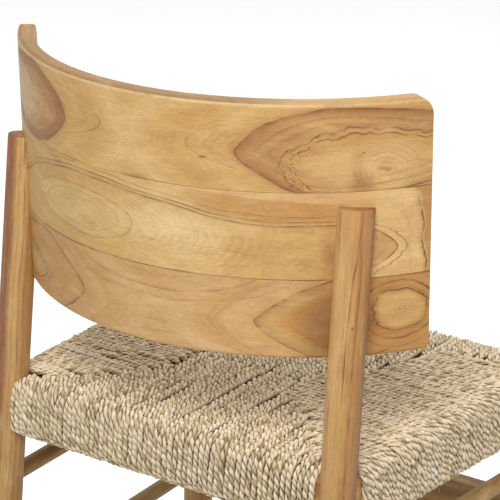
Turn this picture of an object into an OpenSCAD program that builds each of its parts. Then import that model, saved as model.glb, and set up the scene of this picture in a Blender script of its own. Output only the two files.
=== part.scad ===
// Dining chair in solid teak with a woven seagrass seat.
// Round rear legs lean forward and carry a curved backrest coopered from three planks.
// The front of the chair faces -Y, left and right are the sitter's, and z = 0 is the floor.

/* [Legs] */
// Diameter of the four round legs
leg_d = 38; // [34:1:44]
// Distance of the rear legs' top ends below the seam under the top plank
leg_drop = 13; // [5:1:30]
// Half distance between the rear legs at seat height
rear_leg_x = 221; // [205:1:235]
// Half distance between the front legs
front_leg_x = 248; // [236:1:264]
// Distance from the rear legs to the front legs at seat height
leg_spacing = 392; // [360:1:430]
// Forward lean of the rear legs in degrees
rear_rake = 5.6; // [2:0.1:7]
// Inward lean of the rear legs in degrees
rear_splay = 1; // [0:0.1:2]
// Rounding of the legs' top edges
leg_arris = 1.2; // [0.5:0.1:4]

/* [Seat] */
// Height of the top of the woven seat above the floor
seat_h = 448; // [420:1:480]
// Thickness of the four seat rails
rail_t = 23; // [18:1:26]
// Height of the front and rear seat rails
end_rail_h = 55; // [45:1:75]
// Height of the two side rails, which reach lower
side_rail_h = 66; // [50:1:80]
// Thickness of the layer of seagrass cord round the rails
cord_t = 7.5; // [5:0.5:9]
// Gap left along the front and rear rails between a leg's axis and the first cord
rear_notch = 16; // [14:0.5:24]
// Gap left along the side rails between a leg's axis and the first cord
side_notch = 22; // [20:0.5:28]

/* [Backrest] */
// Radius of the backrest's outer face in plan
back_r = 318; // [300:1:340]
// Thickness of the planks
back_t = 18; // [15:0.5:22]
// Angle of the curve on each side of the middle
back_half_angle = 57.3; // [50:0.1:60]
// Height of the lower edge above the floor
back_bottom_h = 558; // [530:1:580]
// Height of the bottom plank
bottom_plank_h = 86; // [70:1:100]
// Height of the middle plank
middle_plank_h = 92; // [75:1:105]
// Height of the top plank
top_plank_h = 93; // [75:1:110]
// Backward tilt of the backrest in degrees
back_tilt = 2; // [0:0.1:5]
// Depth that the lower edge is let into the legs
let_in = 2.7; // [1:0.1:4]
// Radius of the two upper corners
top_corner_r = 20; // [10:1:40]
// Radius of the two lower corners
bottom_corner_r = 9; // [6:1:35]
// Rounding of the upper and lower edges
back_edge_r = 5; // [1:0.5:6]
// Bevel on each plank at the glued seams
seam_bevel = 0.8; // [0.3:0.1:1.5]

/* [Stretchers] */
// Diameter of the round stretchers
rung_d = 20; // [16:1:26]
// Height of the upper side stretchers' axes
upper_rung_z = 319; // [300:1:335]
// Height of the lower side stretchers' axes
lower_rung_z = 177; // [140:1:200]
// Height of the rear stretcher's axis
rear_rung_z = 232; // [205:1:250]
// Height of the front board's upper edge
front_board_top = 268; // [240:1:290]
// Height of the front board
front_board_h = 60; // [40:1:80]
// Thickness of the front board
front_board_t = 22; // [16:1:26]

/* [Joints] */
// Depth of the tenons in the legs
tenon_depth = 14; // [10:0.5:15]
// Thickness of the rails' tenons
tenon_t = 8; // [6:0.5:9]
// Height that a tenon loses at each edge of its rail
tenon_shoulder = 10; // [6:1:15]
// Diameter of the round stretchers' tenons
rung_tenon_d = 14; // [10:1:15]
// Diameter of the dowels between the planks
dowel_d = 8; // [6:1:10]
// Length of the dowels between the planks
dowel_len = 40; // [25:1:60]
// Height of each screw above its plank's lower edge
screw_rise = 44; // [30:1:60]
// Diameter of the screws' shanks
screw_d = 4.5; // [3.5:0.5:5]
// Length of the screws' shanks
screw_len = 17; // [12:1:18]
// Diameter of the screws' heads
screw_head_d = 8; // [7:0.5:9]
// Height of the screws' countersunk heads
screw_head_h = 3; // [2:0.5:4]
// Diameter of the teak plugs over the screws
plug_d = 10; // [9:0.5:12]
// Thickness of the teak plugs
plug_t = 5; // [3:0.5:6]
// Diameter of the glides under the legs
glide_d = 24; // [18:1:28]
// Height of the glides
glide_h = 4; // [3:0.5:6]
// Gap left for glue in each joint
glue_gap = 0.1; // [0.05:0.05:0.2]

/* [Hidden] */
$fn = 64;
LEFT = 1;
RIGHT = -1;
TEAK = "#cf9a5b";
TEAK_DARK = "#8a6140";
SEAGRASS = "#cdb88a";
leg_r = leg_d / 2;
end_rail_z = seat_h - cord_t - end_rail_h / 2;
side_rail_z = seat_h - cord_t - side_rail_h / 2;
back_h = bottom_plank_h + middle_plank_h + top_plank_h;
rear_leg_h = back_bottom_h + bottom_plank_h + middle_plank_h - leg_drop;
tenon_start = leg_r - tenon_depth;
dowel_angles = [-42, -15, 15, 42];
// The curved backrest touches the legs at its lower edge, which sets its place from the rear legs
back_touch_x = rear_leg_x - (back_bottom_h - seat_h) * tan(rear_splay);
back_touch_r = back_r + leg_r - let_in;
back_setback = (back_r - sqrt(pow(back_touch_r, 2) - pow(back_touch_x, 2))) / cos(back_tilt);
// Depths from the rear legs' axes at seat height to whatever stands furthest back
back_rear = back_setback - (back_bottom_h - seat_h) * tan(rear_rake)
    + (back_h - back_edge_r) * sin(back_tilt) + back_edge_r * (1 - cos(back_tilt));
foot_rear = (seat_h - glide_h) * tan(rear_rake) + leg_r / cos(rear_rake);
chair_depth = leg_r + leg_spacing + max(back_rear, foot_rear);
front_y = leg_r - chair_depth / 2;
rear_y = front_y + leg_spacing;
back_y = rear_leg_y(back_bottom_h) + back_setback;

function rear_leg_y(z) = rear_y - (z - seat_h) * tan(rear_rake);
function rear_leg_px(z) = rear_leg_x - (z - seat_h) * tan(rear_splay);
function rear_axis(side, z) = [side * rear_leg_px(z), rear_leg_y(z), z];
function front_axis(side, z) = [side * front_leg_x, front_y, z];
function toward(p, q, d) = p + (q - p) * d / norm(q - p);

// Height on the rear leg's axis of the point that lies at height h on the tilted backrest
function leg_z_at(h) = (h + back_bottom_h * cos(back_tilt)
    - (rear_leg_y(0) - back_y) * sin(back_tilt)) / (cos(back_tilt) - tan(rear_rake) * sin(back_tilt));
// Angle in plan, from the middle of the backrest, of the rear leg at height h on the backrest
function leg_angle(h) = atan2(rear_leg_px(leg_z_at(h)), back_r
    + (rear_leg_y(leg_z_at(h)) - back_y) * cos(back_tilt)
    - (leg_z_at(h) - back_bottom_h) * sin(back_tilt));
lower_screw_h = screw_rise;
upper_screw_h = bottom_plank_h + screw_rise;

// Turns its children so that their +Z runs from p to q
module along(p, q) {
    d = q - p;
    translate(p)
        rotate([0, acos(d.z / norm(d)), atan2(d.y, d.x)])
            children();
}

// Extrudes a section from p to q, both at one height, with the section's y axis upright
module bar_between(p, q) {
    translate(p)
        rotate([0, 0, atan2(q.y - p.y, q.x - p.x)])
            rotate([90, 0, 90])
                linear_extrude(norm(q - p))
                    children();
}

// Upright section with fully rounded upper and lower edges
module rounded_section(w, h) {
    square([w, h - w], center = true);
    for (end = [-1, 1])
        translate([0, end * (h - w) / 2])
            circle(d = w);
}

// Frame of the backrest: the centre of its curve at the lower edge, with z up the planks
module on_backrest() {
    translate([0, back_y, back_bottom_h])
        rotate([-back_tilt, 0, 0])
            translate([0, -back_r, 0])
                children();
}

// Frame at height h on the backrest's outer face, in plan angle a, with +Z pointing outward
module on_back_face(a, h) {
    on_backrest()
        rotate([0, 0, -a])
            translate([0, back_r, h])
                rotate([-90, 0, 0])
                    children();
}

// Round bar of a leg from its axis point at the bottom to the one at the top
module leg_bar(bottom, top) {
    flat_r = leg_r - leg_arris;
    length = norm(top - bottom);
    along(bottom, top)
        rotate(90)
            rotate_extrude() {
                square([flat_r, length]);
                square([leg_r, length - leg_arris]);
                translate([flat_r, length - leg_arris])
                    intersection() {
                        circle(r = leg_arris);
                        square(leg_arris);
                    }
            }
}

// Space that a leg takes from the rails and stretchers that meet it
module rear_leg_space(side) {
    along(rear_axis(side, 0), rear_axis(side, rear_leg_h + leg_d))
        cylinder(r = leg_r + glue_gap, h = rear_leg_h + leg_d);
}

module front_leg_space(side) {
    translate(front_axis(side, 0))
        cylinder(r = leg_r + glue_gap, h = seat_h + leg_d);
}

// Tenon of a rail or board from one leg's axis line to another's, grown by gap for its mortise
module flat_tenon(p, q, t, h, gap = 0) {
    bar_between(toward(p, q, tenon_start - gap), toward(q, p, tenon_start - gap))
        square([t + 2 * gap, h + 2 * gap], center = true);
}

// The same for a round stretcher
module round_tenon(p, q, gap = 0) {
    along(toward(p, q, tenon_start - gap), toward(q, p, tenon_start - gap))
        cylinder(d = rung_tenon_d + 2 * gap, h = norm(q - p) - 2 * (tenon_start - gap));
}

module rail_tenon(p, q, h, gap = 0) {
    flat_tenon(p, q, tenon_t, h - 2 * tenon_shoulder, gap);
}

module board_tenon(gap = 0) {
    z = front_board_top - front_board_h / 2;
    flat_tenon(front_axis(LEFT, z), front_axis(RIGHT, z), tenon_t,
        front_board_h - 2 * tenon_shoulder, gap);
}

// Mortises for the side rail and the two side stretchers of one side
module side_mortises(side) {
    rail_tenon(front_axis(side, side_rail_z), rear_axis(side, side_rail_z), side_rail_h, glue_gap);
    for (z = [upper_rung_z, lower_rung_z])
        round_tenon(front_axis(side, z), rear_axis(side, z), glue_gap);
}

// The rear leg is cut to the curve of the backrest, from its lower edge up
module backrest_seat() {
    on_backrest()
        translate([0, 0, -glue_gap])
            cylinder(r = back_r + glue_gap, h = back_h + leg_d, $fn = 180);
}

module rear_leg(side) {
    color(TEAK)
        difference() {
            leg_bar(rear_axis(side, 0), rear_axis(side, rear_leg_h));
            translate([side * rear_leg_x, rear_leg_y(0), glide_h - leg_d])
                cylinder(r = leg_d, h = leg_d);
            backrest_seat();
            rail_tenon(rear_axis(LEFT, end_rail_z), rear_axis(RIGHT, end_rail_z), end_rail_h, glue_gap);
            round_tenon(rear_axis(LEFT, rear_rung_z), rear_axis(RIGHT, rear_rung_z), glue_gap);
            side_mortises(side);
            for (h = [lower_screw_h, upper_screw_h])
                on_back_face(side * leg_angle(h), h)
                    cylinder(d = screw_d + 2 * glue_gap, h = screw_len);
        }
}

module front_leg(side) {
    color(TEAK)
        difference() {
            leg_bar(front_axis(side, glide_h), front_axis(side, seat_h));
            rail_tenon(front_axis(LEFT, end_rail_z), front_axis(RIGHT, end_rail_z), end_rail_h, glue_gap);
            board_tenon(glue_gap);
            side_mortises(side);
        }
}

// A rail's shoulders are scribed to the round legs
module rail_between(p, q, h, lean = 0, gap = 0) {
    bar_between(p, q)
        rotate(lean)
            rounded_section(rail_t + 2 * gap, h + 2 * gap);
}

module rear_rail() {
    p = rear_axis(LEFT, end_rail_z);
    q = rear_axis(RIGHT, end_rail_z);
    color(TEAK) {
        difference() {
            rail_between(p, q, end_rail_h, -rear_rake);
            rear_leg_space(LEFT);
            rear_leg_space(RIGHT);
        }
        rail_tenon(p, q, end_rail_h);
    }
}

module front_rail() {
    p = front_axis(LEFT, end_rail_z);
    q = front_axis(RIGHT, end_rail_z);
    color(TEAK) {
        difference() {
            rail_between(p, q, end_rail_h);
            front_leg_space(LEFT);
            front_leg_space(RIGHT);
        }
        rail_tenon(p, q, end_rail_h);
    }
}

module side_rail(side) {
    p = front_axis(side, side_rail_z);
    q = rear_axis(side, side_rail_z);
    color(TEAK) {
        difference() {
            rail_between(p, q, side_rail_h);
            front_leg_space(side);
            rear_leg_space(side);
        }
        rail_tenon(p, q, side_rail_h);
    }
}

module side_rung(side, z) {
    p = front_axis(side, z);
    q = rear_axis(side, z);
    color(TEAK_DARK) {
        difference() {
            along(p, q)
                cylinder(d = rung_d, h = norm(q - p));
            front_leg_space(side);
            rear_leg_space(side);
        }
        round_tenon(p, q);
    }
}

module rear_rung() {
    p = rear_axis(LEFT, rear_rung_z);
    q = rear_axis(RIGHT, rear_rung_z);
    color(TEAK_DARK) {
        difference() {
            along(p, q)
                cylinder(d = rung_d, h = norm(q - p));
            rear_leg_space(LEFT);
            rear_leg_space(RIGHT);
        }
        round_tenon(p, q);
    }
}

module front_board() {
    z = front_board_top - front_board_h / 2;
    color(TEAK_DARK) {
        difference() {
            bar_between(front_axis(LEFT, z), front_axis(RIGHT, z))
                square([front_board_t, front_board_h], center = true);
            front_leg_space(LEFT);
            front_leg_space(RIGHT);
        }
        board_tenon();
    }
}

// Section of a plank, with its outer and inner faces upright and each long edge eased
module plank_section(h, lower_r, upper_r) {
    translate([back_r - back_t, 0])
        rounded_rectangle(back_t, h, lower_r, upper_r);
}

// Rectangle with round lower and upper corners of two radii, built from plain pieces
module rounded_rectangle(w, h, lower_r, upper_r) {
    translate([0, lower_r])
        square([w, h - lower_r - upper_r]);
    translate([lower_r, 0])
        square([w - 2 * lower_r, lower_r]);
    translate([upper_r, h - upper_r])
        square([w - 2 * upper_r, upper_r]);
    for (x = [lower_r, w - lower_r])
        translate([x, lower_r])
            circle(r = lower_r);
    for (x = [upper_r, w - upper_r])
        translate([x, h - upper_r])
            circle(r = upper_r);
}

// Cuts a round corner of radius r at the plank's end; up is 1 for an upper corner, -1 for a lower
module corner_cut(side, z, r, up) {
    reach = r + back_t;
    on_backrest()
        rotate([0, 0, -side * back_half_angle])
            translate([0, back_r - back_t / 2, z])
                rotate([90, 0, 0])
                    difference() {
                        translate([-r, -r, -back_t])
                            cube([2 * r, 2 * r, 2 * back_t]);
                        translate([-side * r, -up * r, -reach])
                            cylinder(r = r, h = 2 * reach, $fn = 96);
                        translate([side > 0 ? -2 * reach - r : r, -reach, -reach])
                            cube([2 * reach, 2 * reach, 2 * reach]);
                        translate([-reach, up > 0 ? -2 * reach - r : r, -reach])
                            cube([2 * reach, 2 * reach, 2 * reach]);
                    }
}

// One curved plank from height z up, before its bores
module plank_blank(z, h, lower_r, upper_r) {
    on_backrest()
        translate([0, 0, z])
            rotate_extrude(angle = 2 * back_half_angle, start = 90 - back_half_angle, $fn = 180)
                plank_section(h, lower_r, upper_r);
}

module dowel_at(index, z, gap = 0) {
    on_backrest()
        rotate([0, 0, -dowel_angles[index]])
            translate([0, back_r - back_t / 2, z - dowel_len / 2 - gap])
                cylinder(d = dowel_d + 2 * gap, h = dowel_len + 2 * gap);
}

// Holes for two screws' shanks and the counterbores for their heads and plugs, from the inner face
module screw_bores(h) {
    for (side = [LEFT, RIGHT])
        on_back_face(side * leg_angle(h), h) {
            translate([0, 0, -back_t])
                cylinder(d = screw_d + 2 * glue_gap, h = back_t + screw_len);
            translate([0, 0, -back_t - plug_t])
                cylinder(d = plug_d + 2 * glue_gap, h = 2 * plug_t + screw_head_h);
        }
}

module back_plank_bottom() {
    color(TEAK)
        difference() {
            plank_blank(0, bottom_plank_h, back_edge_r, seam_bevel);
            for (side = [LEFT, RIGHT])
                corner_cut(side, 0, bottom_corner_r, -1);
            screw_bores(lower_screw_h);
            for (i = [0 : 3])
                dowel_at(i, bottom_plank_h, glue_gap);
        }
}

module back_plank_middle() {
    color(TEAK)
        difference() {
            plank_blank(bottom_plank_h, middle_plank_h, seam_bevel, seam_bevel);
            screw_bores(upper_screw_h);
            for (i = [0 : 3]) {
                dowel_at(i, bottom_plank_h, glue_gap);
                dowel_at(i, bottom_plank_h + middle_plank_h, glue_gap);
            }
        }
}

module back_plank_top() {
    color(TEAK)
        difference() {
            plank_blank(bottom_plank_h + middle_plank_h, top_plank_h, seam_bevel, back_edge_r);
            for (side = [LEFT, RIGHT])
                corner_cut(side, back_h, top_corner_r, 1);
            for (i = [0 : 3])
                dowel_at(i, bottom_plank_h + middle_plank_h, glue_gap);
        }
}

module dowel(index, z) {
    color(TEAK_DARK)
        dowel_at(index, z);
}

module screw(side, h) {
    head_r = screw_head_d / 2;
    shank_r = screw_d / 2;
    color("silver")
        on_back_face(side * leg_angle(h), h)
            translate([0, 0, plug_t - back_t])
                rotate_extrude()
                    polygon([[0, 0], [head_r, 0], [shank_r, screw_head_h],
                        [shank_r, screw_len + back_t - plug_t - shank_r],
                        [0, screw_len + back_t - plug_t]]);
}

module plug(side, h) {
    color(TEAK_DARK)
        on_back_face(side * leg_angle(h), h)
            translate([0, 0, -back_t])
                cylinder(d = plug_d, h = plug_t);
}

// Distance from the middle to the side rail's axis at depth y
function side_rail_x(y) = rear_leg_px(side_rail_z) + (front_leg_x - rear_leg_px(side_rail_z))
    * (rear_leg_y(side_rail_z) - y) / (rear_leg_y(side_rail_z) - front_y);

// Plan of the seat between the rails' axes, moved in by inset, with a notch at each leg
function seat_half_plan(side, inset) = let (
    back = rear_leg_y(end_rail_z),
    back_x = rear_leg_px(end_rail_z) - rear_notch,
    front_x = front_leg_x - rear_notch,
    slack = min(inset, 2)
) [
    [side * (front_x - slack), front_y + inset],
    [side * (front_x - slack), front_y + side_notch + slack],
    [side * (side_rail_x(front_y + side_notch) - inset), front_y + side_notch + slack],
    [side * (side_rail_x(back - side_notch) - inset), back - side_notch - slack],
    [side * (back_x - slack), back - side_notch - slack],
    [side * (back_x - slack), back - inset]
];

function reversed(list) = [for (i = [len(list) - 1 : -1 : 0]) list[i]];

module seat_plan(inset) {
    polygon(concat(seat_half_plan(LEFT, inset), reversed(seat_half_plan(RIGHT, inset))));
}

// The cords wrap each rail from notch to notch and cross the seat above and below the stuffing
module cord_wrap(p, q, h, notch, lean = 0) {
    bar_between(toward(p, q, notch), toward(q, p, notch))
        rotate(lean)
            rounded_section(rail_t + 2 * cord_t, h + 2 * cord_t);
}

module all_rails(gap) {
    for (side = [LEFT, RIGHT])
        rail_between(front_axis(side, side_rail_z), rear_axis(side, side_rail_z), side_rail_h, 0, gap);
    rail_between(front_axis(LEFT, end_rail_z), front_axis(RIGHT, end_rail_z), end_rail_h, 0, gap);
    rail_between(rear_axis(LEFT, end_rail_z), rear_axis(RIGHT, end_rail_z), end_rail_h, -rear_rake, gap);
}

module all_wraps() {
    for (side = [LEFT, RIGHT])
        cord_wrap(front_axis(side, side_rail_z), rear_axis(side, side_rail_z), side_rail_h, side_notch);
    cord_wrap(front_axis(LEFT, end_rail_z), front_axis(RIGHT, end_rail_z), end_rail_h, rear_notch);
    cord_wrap(rear_axis(LEFT, end_rail_z), rear_axis(RIGHT, end_rail_z), end_rail_h, rear_notch,
        -rear_rake);
}

module woven_seat() {
    color(SEAGRASS)
        difference() {
            union() {
                translate([0, 0, end_rail_z - end_rail_h / 2 - cord_t])
                    linear_extrude(end_rail_h + 2 * cord_t)
                        seat_plan(0);
                all_wraps();
            }
            all_rails(glue_gap);
            translate([0, 0, end_rail_z - end_rail_h / 2])
                linear_extrude(end_rail_h)
                    seat_plan(rail_t / 2);
        }
}

module seat_stuffing() {
    color("burlywood")
        difference() {
            translate([0, 0, end_rail_z - end_rail_h / 2 + glue_gap])
                linear_extrude(end_rail_h - 2 * glue_gap)
                    seat_plan(rail_t / 2 + glue_gap);
            all_rails(glue_gap);
        }
}

module glide(p) {
    color("dimgray")
        translate([p.x, p.y, 0])
            cylinder(d = glide_d, h = glide_h);
}

rear_leg(LEFT);  // rear_leg_left
rear_leg(RIGHT);  // rear_leg_right
front_leg(LEFT);  // front_leg_left
front_leg(RIGHT);  // front_leg_right
rear_rail();
front_rail();
side_rail(LEFT);  // left_rail
side_rail(RIGHT);  // right_rail
side_rung(LEFT, upper_rung_z);  // upper_rung_left
side_rung(RIGHT, upper_rung_z);  // upper_rung_right
side_rung(LEFT, lower_rung_z);  // lower_rung_left
side_rung(RIGHT, lower_rung_z);  // lower_rung_right
rear_rung();
front_board();
back_plank_bottom();
back_plank_middle();
back_plank_top();
for (i = [0 : 3]) {
    dowel(i, bottom_plank_h);
    dowel(i, bottom_plank_h + middle_plank_h);
}
screw(LEFT, lower_screw_h);  // screw_left_lower
screw(LEFT, upper_screw_h);  // screw_left_upper
screw(RIGHT, lower_screw_h);  // screw_right_lower
screw(RIGHT, upper_screw_h);  // screw_right_upper
plug(LEFT, lower_screw_h);  // plug_left_lower
plug(LEFT, upper_screw_h);  // plug_left_upper
plug(RIGHT, lower_screw_h);  // plug_right_lower
plug(RIGHT, upper_screw_h);  // plug_right_upper
woven_seat();
seat_stuffing();
glide(rear_axis(LEFT, glide_h));  // glide_rear_left
glide(rear_axis(RIGHT, glide_h));  // glide_rear_right
glide(front_axis(LEFT, glide_h));  // glide_front_left
glide(front_axis(RIGHT, glide_h));  // glide_front_right
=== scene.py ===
"""Looks of the teak dining chair with a woven seagrass seat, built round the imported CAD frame."""
import math

import bpy
import numpy as np
from mathutils import Matrix, Quaternion, Vector


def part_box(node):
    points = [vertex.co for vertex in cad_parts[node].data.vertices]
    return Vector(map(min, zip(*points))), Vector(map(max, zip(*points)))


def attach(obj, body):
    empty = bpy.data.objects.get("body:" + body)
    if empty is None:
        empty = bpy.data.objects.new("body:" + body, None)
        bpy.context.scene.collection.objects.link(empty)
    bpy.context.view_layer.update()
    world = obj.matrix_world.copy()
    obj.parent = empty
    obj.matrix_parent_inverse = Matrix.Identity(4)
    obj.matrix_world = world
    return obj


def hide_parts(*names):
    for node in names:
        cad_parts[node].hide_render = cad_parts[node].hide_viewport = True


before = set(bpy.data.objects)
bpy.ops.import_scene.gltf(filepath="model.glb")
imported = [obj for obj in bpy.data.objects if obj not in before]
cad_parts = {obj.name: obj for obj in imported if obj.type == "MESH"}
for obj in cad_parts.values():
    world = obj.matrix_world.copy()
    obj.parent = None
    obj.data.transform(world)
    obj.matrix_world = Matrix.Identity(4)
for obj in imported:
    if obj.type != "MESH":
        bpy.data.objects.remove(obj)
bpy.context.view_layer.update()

MM = 0.001

# Sides, by the sign of X
LEFT = 1
RIGHT = -1

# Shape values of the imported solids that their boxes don't show. Lengths are in metres
LEG_RAKE = math.radians(5.6)
LEG_SPLAY = math.radians(1)
BACK_RADIUS = 0.318
BACK_TILT = math.radians(2)
TOP_PLANK_HEIGHT = 0.093
SEAM_BEVEL = 0.0008
REAR_NOTCH = 0.016
SIDE_NOTCH = 0.022

# The camera stands behind the chair, to the sitter's right
CAMERA_PLACE = Vector((-1.2403, 1.7941, 1.3507))
CAMERA_TARGET = Vector((0.0783, -0.0912, 0.5500))
CAMERA_ROLL = math.radians(0.619)
CAMERA_LENS = 148.2
SENSOR_WIDTH = 36


def plank_foot(plank):
    """Height of a plank's lower edge up the tilted backrest, in millimetres."""
    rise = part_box(plank)[0].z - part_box("back_plank_bottom")[0].z
    return rise / math.cos(BACK_TILT) / MM


LOWER_SEAM = plank_foot("back_plank_middle")
UPPER_SEAM = plank_foot("back_plank_top")
BACK_HEIGHT = UPPER_SEAM + TOP_PLANK_HEIGHT / MM


def srgb(red, green, blue):
    """Linear colour of an sRGB colour given from 0 to 255."""
    parts = [c / 255 for c in (red, green, blue)]
    return tuple(c / 12.92 if c <= 0.04045 else ((c + 0.055) / 1.055) ** 2.4 for c in parts) + (1,)


# Shader nodes written as sums
class Value:
    """A number that a shader works out for each point."""

    def __init__(self, nodes, socket):
        self.nodes = nodes
        self.socket = socket

    def __add__(self, other):
        return self.nodes.math("ADD", self, other)

    __radd__ = __add__

    def __sub__(self, other):
        return self.nodes.math("SUBTRACT", self, other)

    def __rsub__(self, other):
        return self.nodes.math("SUBTRACT", other, self)

    def __mul__(self, other):
        return self.nodes.math("MULTIPLY", self, other)

    __rmul__ = __mul__

    def __truediv__(self, other):
        return self.nodes.math("DIVIDE", self, other)

    def __abs__(self):
        return self.nodes.math("ABSOLUTE", self)

    def root(self):
        return self.nodes.math("SQRT", self)


class Nodes:
    """The node tree of one material, or of the world."""

    def __init__(self, name, owners=bpy.data.materials, shader="Principled BSDF"):
        self.owner = owners.new(name)
        self.owner.use_nodes = True
        self.tree = self.owner.node_tree
        self.shader = self.tree.nodes[shader]
        self.colour = None

    def add(self, kind, inputs=(), **settings):
        """Adds a node. inputs pairs the names or numbers of its inputs with values."""
        node = self.tree.nodes.new("ShaderNode" + kind)
        for key, value in settings.items():
            setattr(node, key, value)
        for key, value in dict(inputs).items():
            self.put(node.inputs[key], value)
        return node

    def put(self, socket, value):
        if isinstance(value, Value):
            value = value.socket
        if isinstance(value, bpy.types.NodeSocket):
            self.tree.links.new(value, socket)
        else:
            socket.default_value = value

    def tell(self, name, value):
        """Sets an input of the shader."""
        self.put(self.shader.inputs[name], value)

    def math(self, operation, *values):
        return Value(self, self.add("Math", enumerate(values), operation=operation).outputs[0])

    def larger(self, first, *others):
        for other in others:
            first = self.math("MAXIMUM", first, other)
        return first

    def step(self, value, start, end, low=0.0, high=1.0):
        """Runs smoothly from low at start to high at end."""
        inputs = {"Value": value, "From Min": start, "From Max": end, "To Min": low, "To Max": high}
        node = self.add("MapRange", inputs, interpolation_type="SMOOTHSTEP")
        return Value(self, node.outputs["Result"])

    def vector(self, x, y, z):
        return self.add("CombineXYZ", enumerate((x, y, z))).outputs[0]

    def split(self, vector):
        return [Value(self, socket) for socket in self.add("SeparateXYZ", {0: vector}).outputs]

    def noise(self, x, y, z, detail=2.0, roughness=0.5):
        """Smooth noise, from -1 to 1, over three coordinates in units of its grain."""
        node = self.add("TexNoise", {
            "Vector": self.vector(x, y, z), "Scale": 1.0, "Detail": detail, "Roughness": roughness})
        return Value(self, node.outputs["Fac"]) * 2.0 - 1.0

    def place(self, origin=(0, 0, 0), turn=(0, 0, 0)):
        """The point's coordinates, in millimetres, from an origin and turned axes of the part's own."""
        point = self.add("TexCoord").outputs["Object"]
        inputs = {"Vector": point, "Location": origin, "Rotation": turn, "Scale": (MM, MM, MM)}
        return self.split(self.add("Mapping", inputs, vector_type="TEXTURE").outputs[0])

    def ramp(self, value, stops):
        """Colour by value, through stops given as {value: colour}."""
        low, high = min(stops), max(stops)
        node = self.add("ValToRGB", {0: (value - low) / (high - low)})
        elements = node.color_ramp.elements
        elements.remove(elements[1])
        elements[0].color = stops[low]
        for place in sorted(stops)[1:]:
            elements.new((place - low) / (high - low)).color = stops[place]
        return node.outputs["Color"]

    def mix(self, factor, a, b, blend="MIX"):
        node = self.add("Mix", {"Factor": factor}, data_type="RGBA", blend_type=blend)
        colours = [s for s in node.inputs if s.type == "RGBA"]
        self.put(colours[0], a)
        self.put(colours[1], b)
        return [s for s in node.outputs if s.type == "RGBA"][0]

    def paint(self, amount, colour):
        """Lays another colour over the material's own."""
        self.colour = self.mix(amount, self.colour, colour)

    def wash(self, value, start, end, strength, colour):
        """Paints where value runs from start to end, up to strength."""
        self.paint(self.step(value, start, end, 0.0, strength), colour)

    def curve(self, value, low, high, points):
        """Height of a drawn curve over value, through the given points."""
        heights = [height for place, height in points]
        bottom, top = min(heights) - 10, max(heights) + 10
        node = self.add("FloatCurve", {"Value": (value - low) / (high - low)})
        drawn = node.mapping.curves[0].points
        scaled = [((p - low) / (high - low), (q - bottom) / (top - bottom)) for p, q in points]
        drawn[0].location, drawn[1].location = scaled[0], scaled[-1]
        for location in scaled[1:-1]:
            drawn.new(*location)
        node.mapping.update()
        return Value(self, node.outputs[0]) * (top - bottom) + bottom

    def surface(self, roughness):
        self.tell("Base Color", self.colour)
        self.tell("Roughness", roughness)

    def bump(self, height, distance):
        """Relief from a height of 0 to 1 that stands for distance metres."""
        self.tell("Normal", self.add("Bump", {"Distance": distance, "Height": height}).outputs[0])


# Colours of teak, and white
HONEY = srgb(212, 168, 104)
GOLD = srgb(222, 180, 114)
PALE = srgb(231, 193, 132)
TAN = srgb(200, 153, 98)
BROWN = srgb(188, 140, 89)
RUSSET = srgb(178, 126, 78)
ORANGE = srgb(204, 148, 82)
UMBER = srgb(118, 64, 34)
PLUM = srgb(138, 86, 66)
ASH = srgb(192, 156, 112)
AMBER = srgb(198, 143, 90)
CLAY = srgb(194, 144, 98)
CREAM = srgb(236, 202, 146)
LATE_WOOD = srgb(150, 96, 52)
# Painted shade for the upward top face of the backrest
TOP_FACE_SHADE = srgb(140, 104, 66)
END_GRAIN = srgb(110, 66, 42)
BARK_MARK = srgb(112, 62, 52)
WHITE = (1, 1, 1, 1)


def finish_teak(nodes, along, across, deep, tone=1.0):
    """Adds fibres, mottling and pores to a figure. along runs with the grain, all in millimetres."""
    fibre = nodes.noise(along / 45, across / 1.4, deep / 1.4, 4, 0.7)
    fleck = nodes.noise(along / 8, across / 2.2, deep / 2.2, 4, 0.75)
    mottle = nodes.noise(along / 26, across / 9, deep / 9, 3, 0.6)
    cloud = nodes.noise(along / 130, across / 50, deep / 50, 2)
    blotch = nodes.noise(along / 50, across / 18, deep / 18 + 5.0, 3, 0.55)
    pore = nodes.step(nodes.noise(along / 6, across / 0.5, deep / 0.5, 1), 0.30, 0.60)
    shade = (1.0 + fibre * 0.22 + fleck * 0.26 + mottle * 0.20 + cloud * 0.08) * tone
    nodes.colour = nodes.mix(1.0, nodes.colour, nodes.vector(shade, shade, shade), "MULTIPLY")
    nodes.wash(cloud, 0.0, 0.7, 0.40, AMBER)
    nodes.wash(blotch, 0.05, 0.6, 0.45, CLAY)
    nodes.wash(blotch, -0.05, -0.6, 0.40, CREAM)
    nodes.wash(mottle, -0.2, -0.8, 0.25, ASH)
    nodes.paint(pore * 0.34, UMBER)
    nodes.surface(0.50 + fleck * 0.08 + pore * 0.12)
    nodes.tell("Specular IOR Level", 0.24)
    nodes.bump(0.6 + fibre * 0.16 + fleck * 0.12 - pore * 0.45, 0.00024)
    return nodes.owner


def rings(nodes, figure, levels, width=0.8, fade=6.0):
    """Dark late wood: a sharp line at each level, with a shade that fades inward.

    levels is {level: strength}, and width and fade are in millimetres.
    """
    ring, slope = figure
    dark = None
    for level, strength in levels.items():
        distance = (ring - level) / slope
        edge = nodes.step(abs(distance), width + 0.5 * strength, 0.0)
        shade = nodes.step(distance, -fade, 0.0) * nodes.step(distance, 0.3, -0.3) * 0.42
        mark = nodes.larger(edge, shade) * strength
        dark = mark if dark is None else nodes.larger(dark, mark)
    return dark


def patch(nodes, s, h, centre, radii):
    """A soft oval patch, 1 in its middle and 0 outside."""
    ds = (s - centre[0]) / radii[0]
    dh = (h - centre[1]) / radii[1]
    return nodes.step((ds * ds + dh * dh).root(), 1.0, 0.0)


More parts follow.
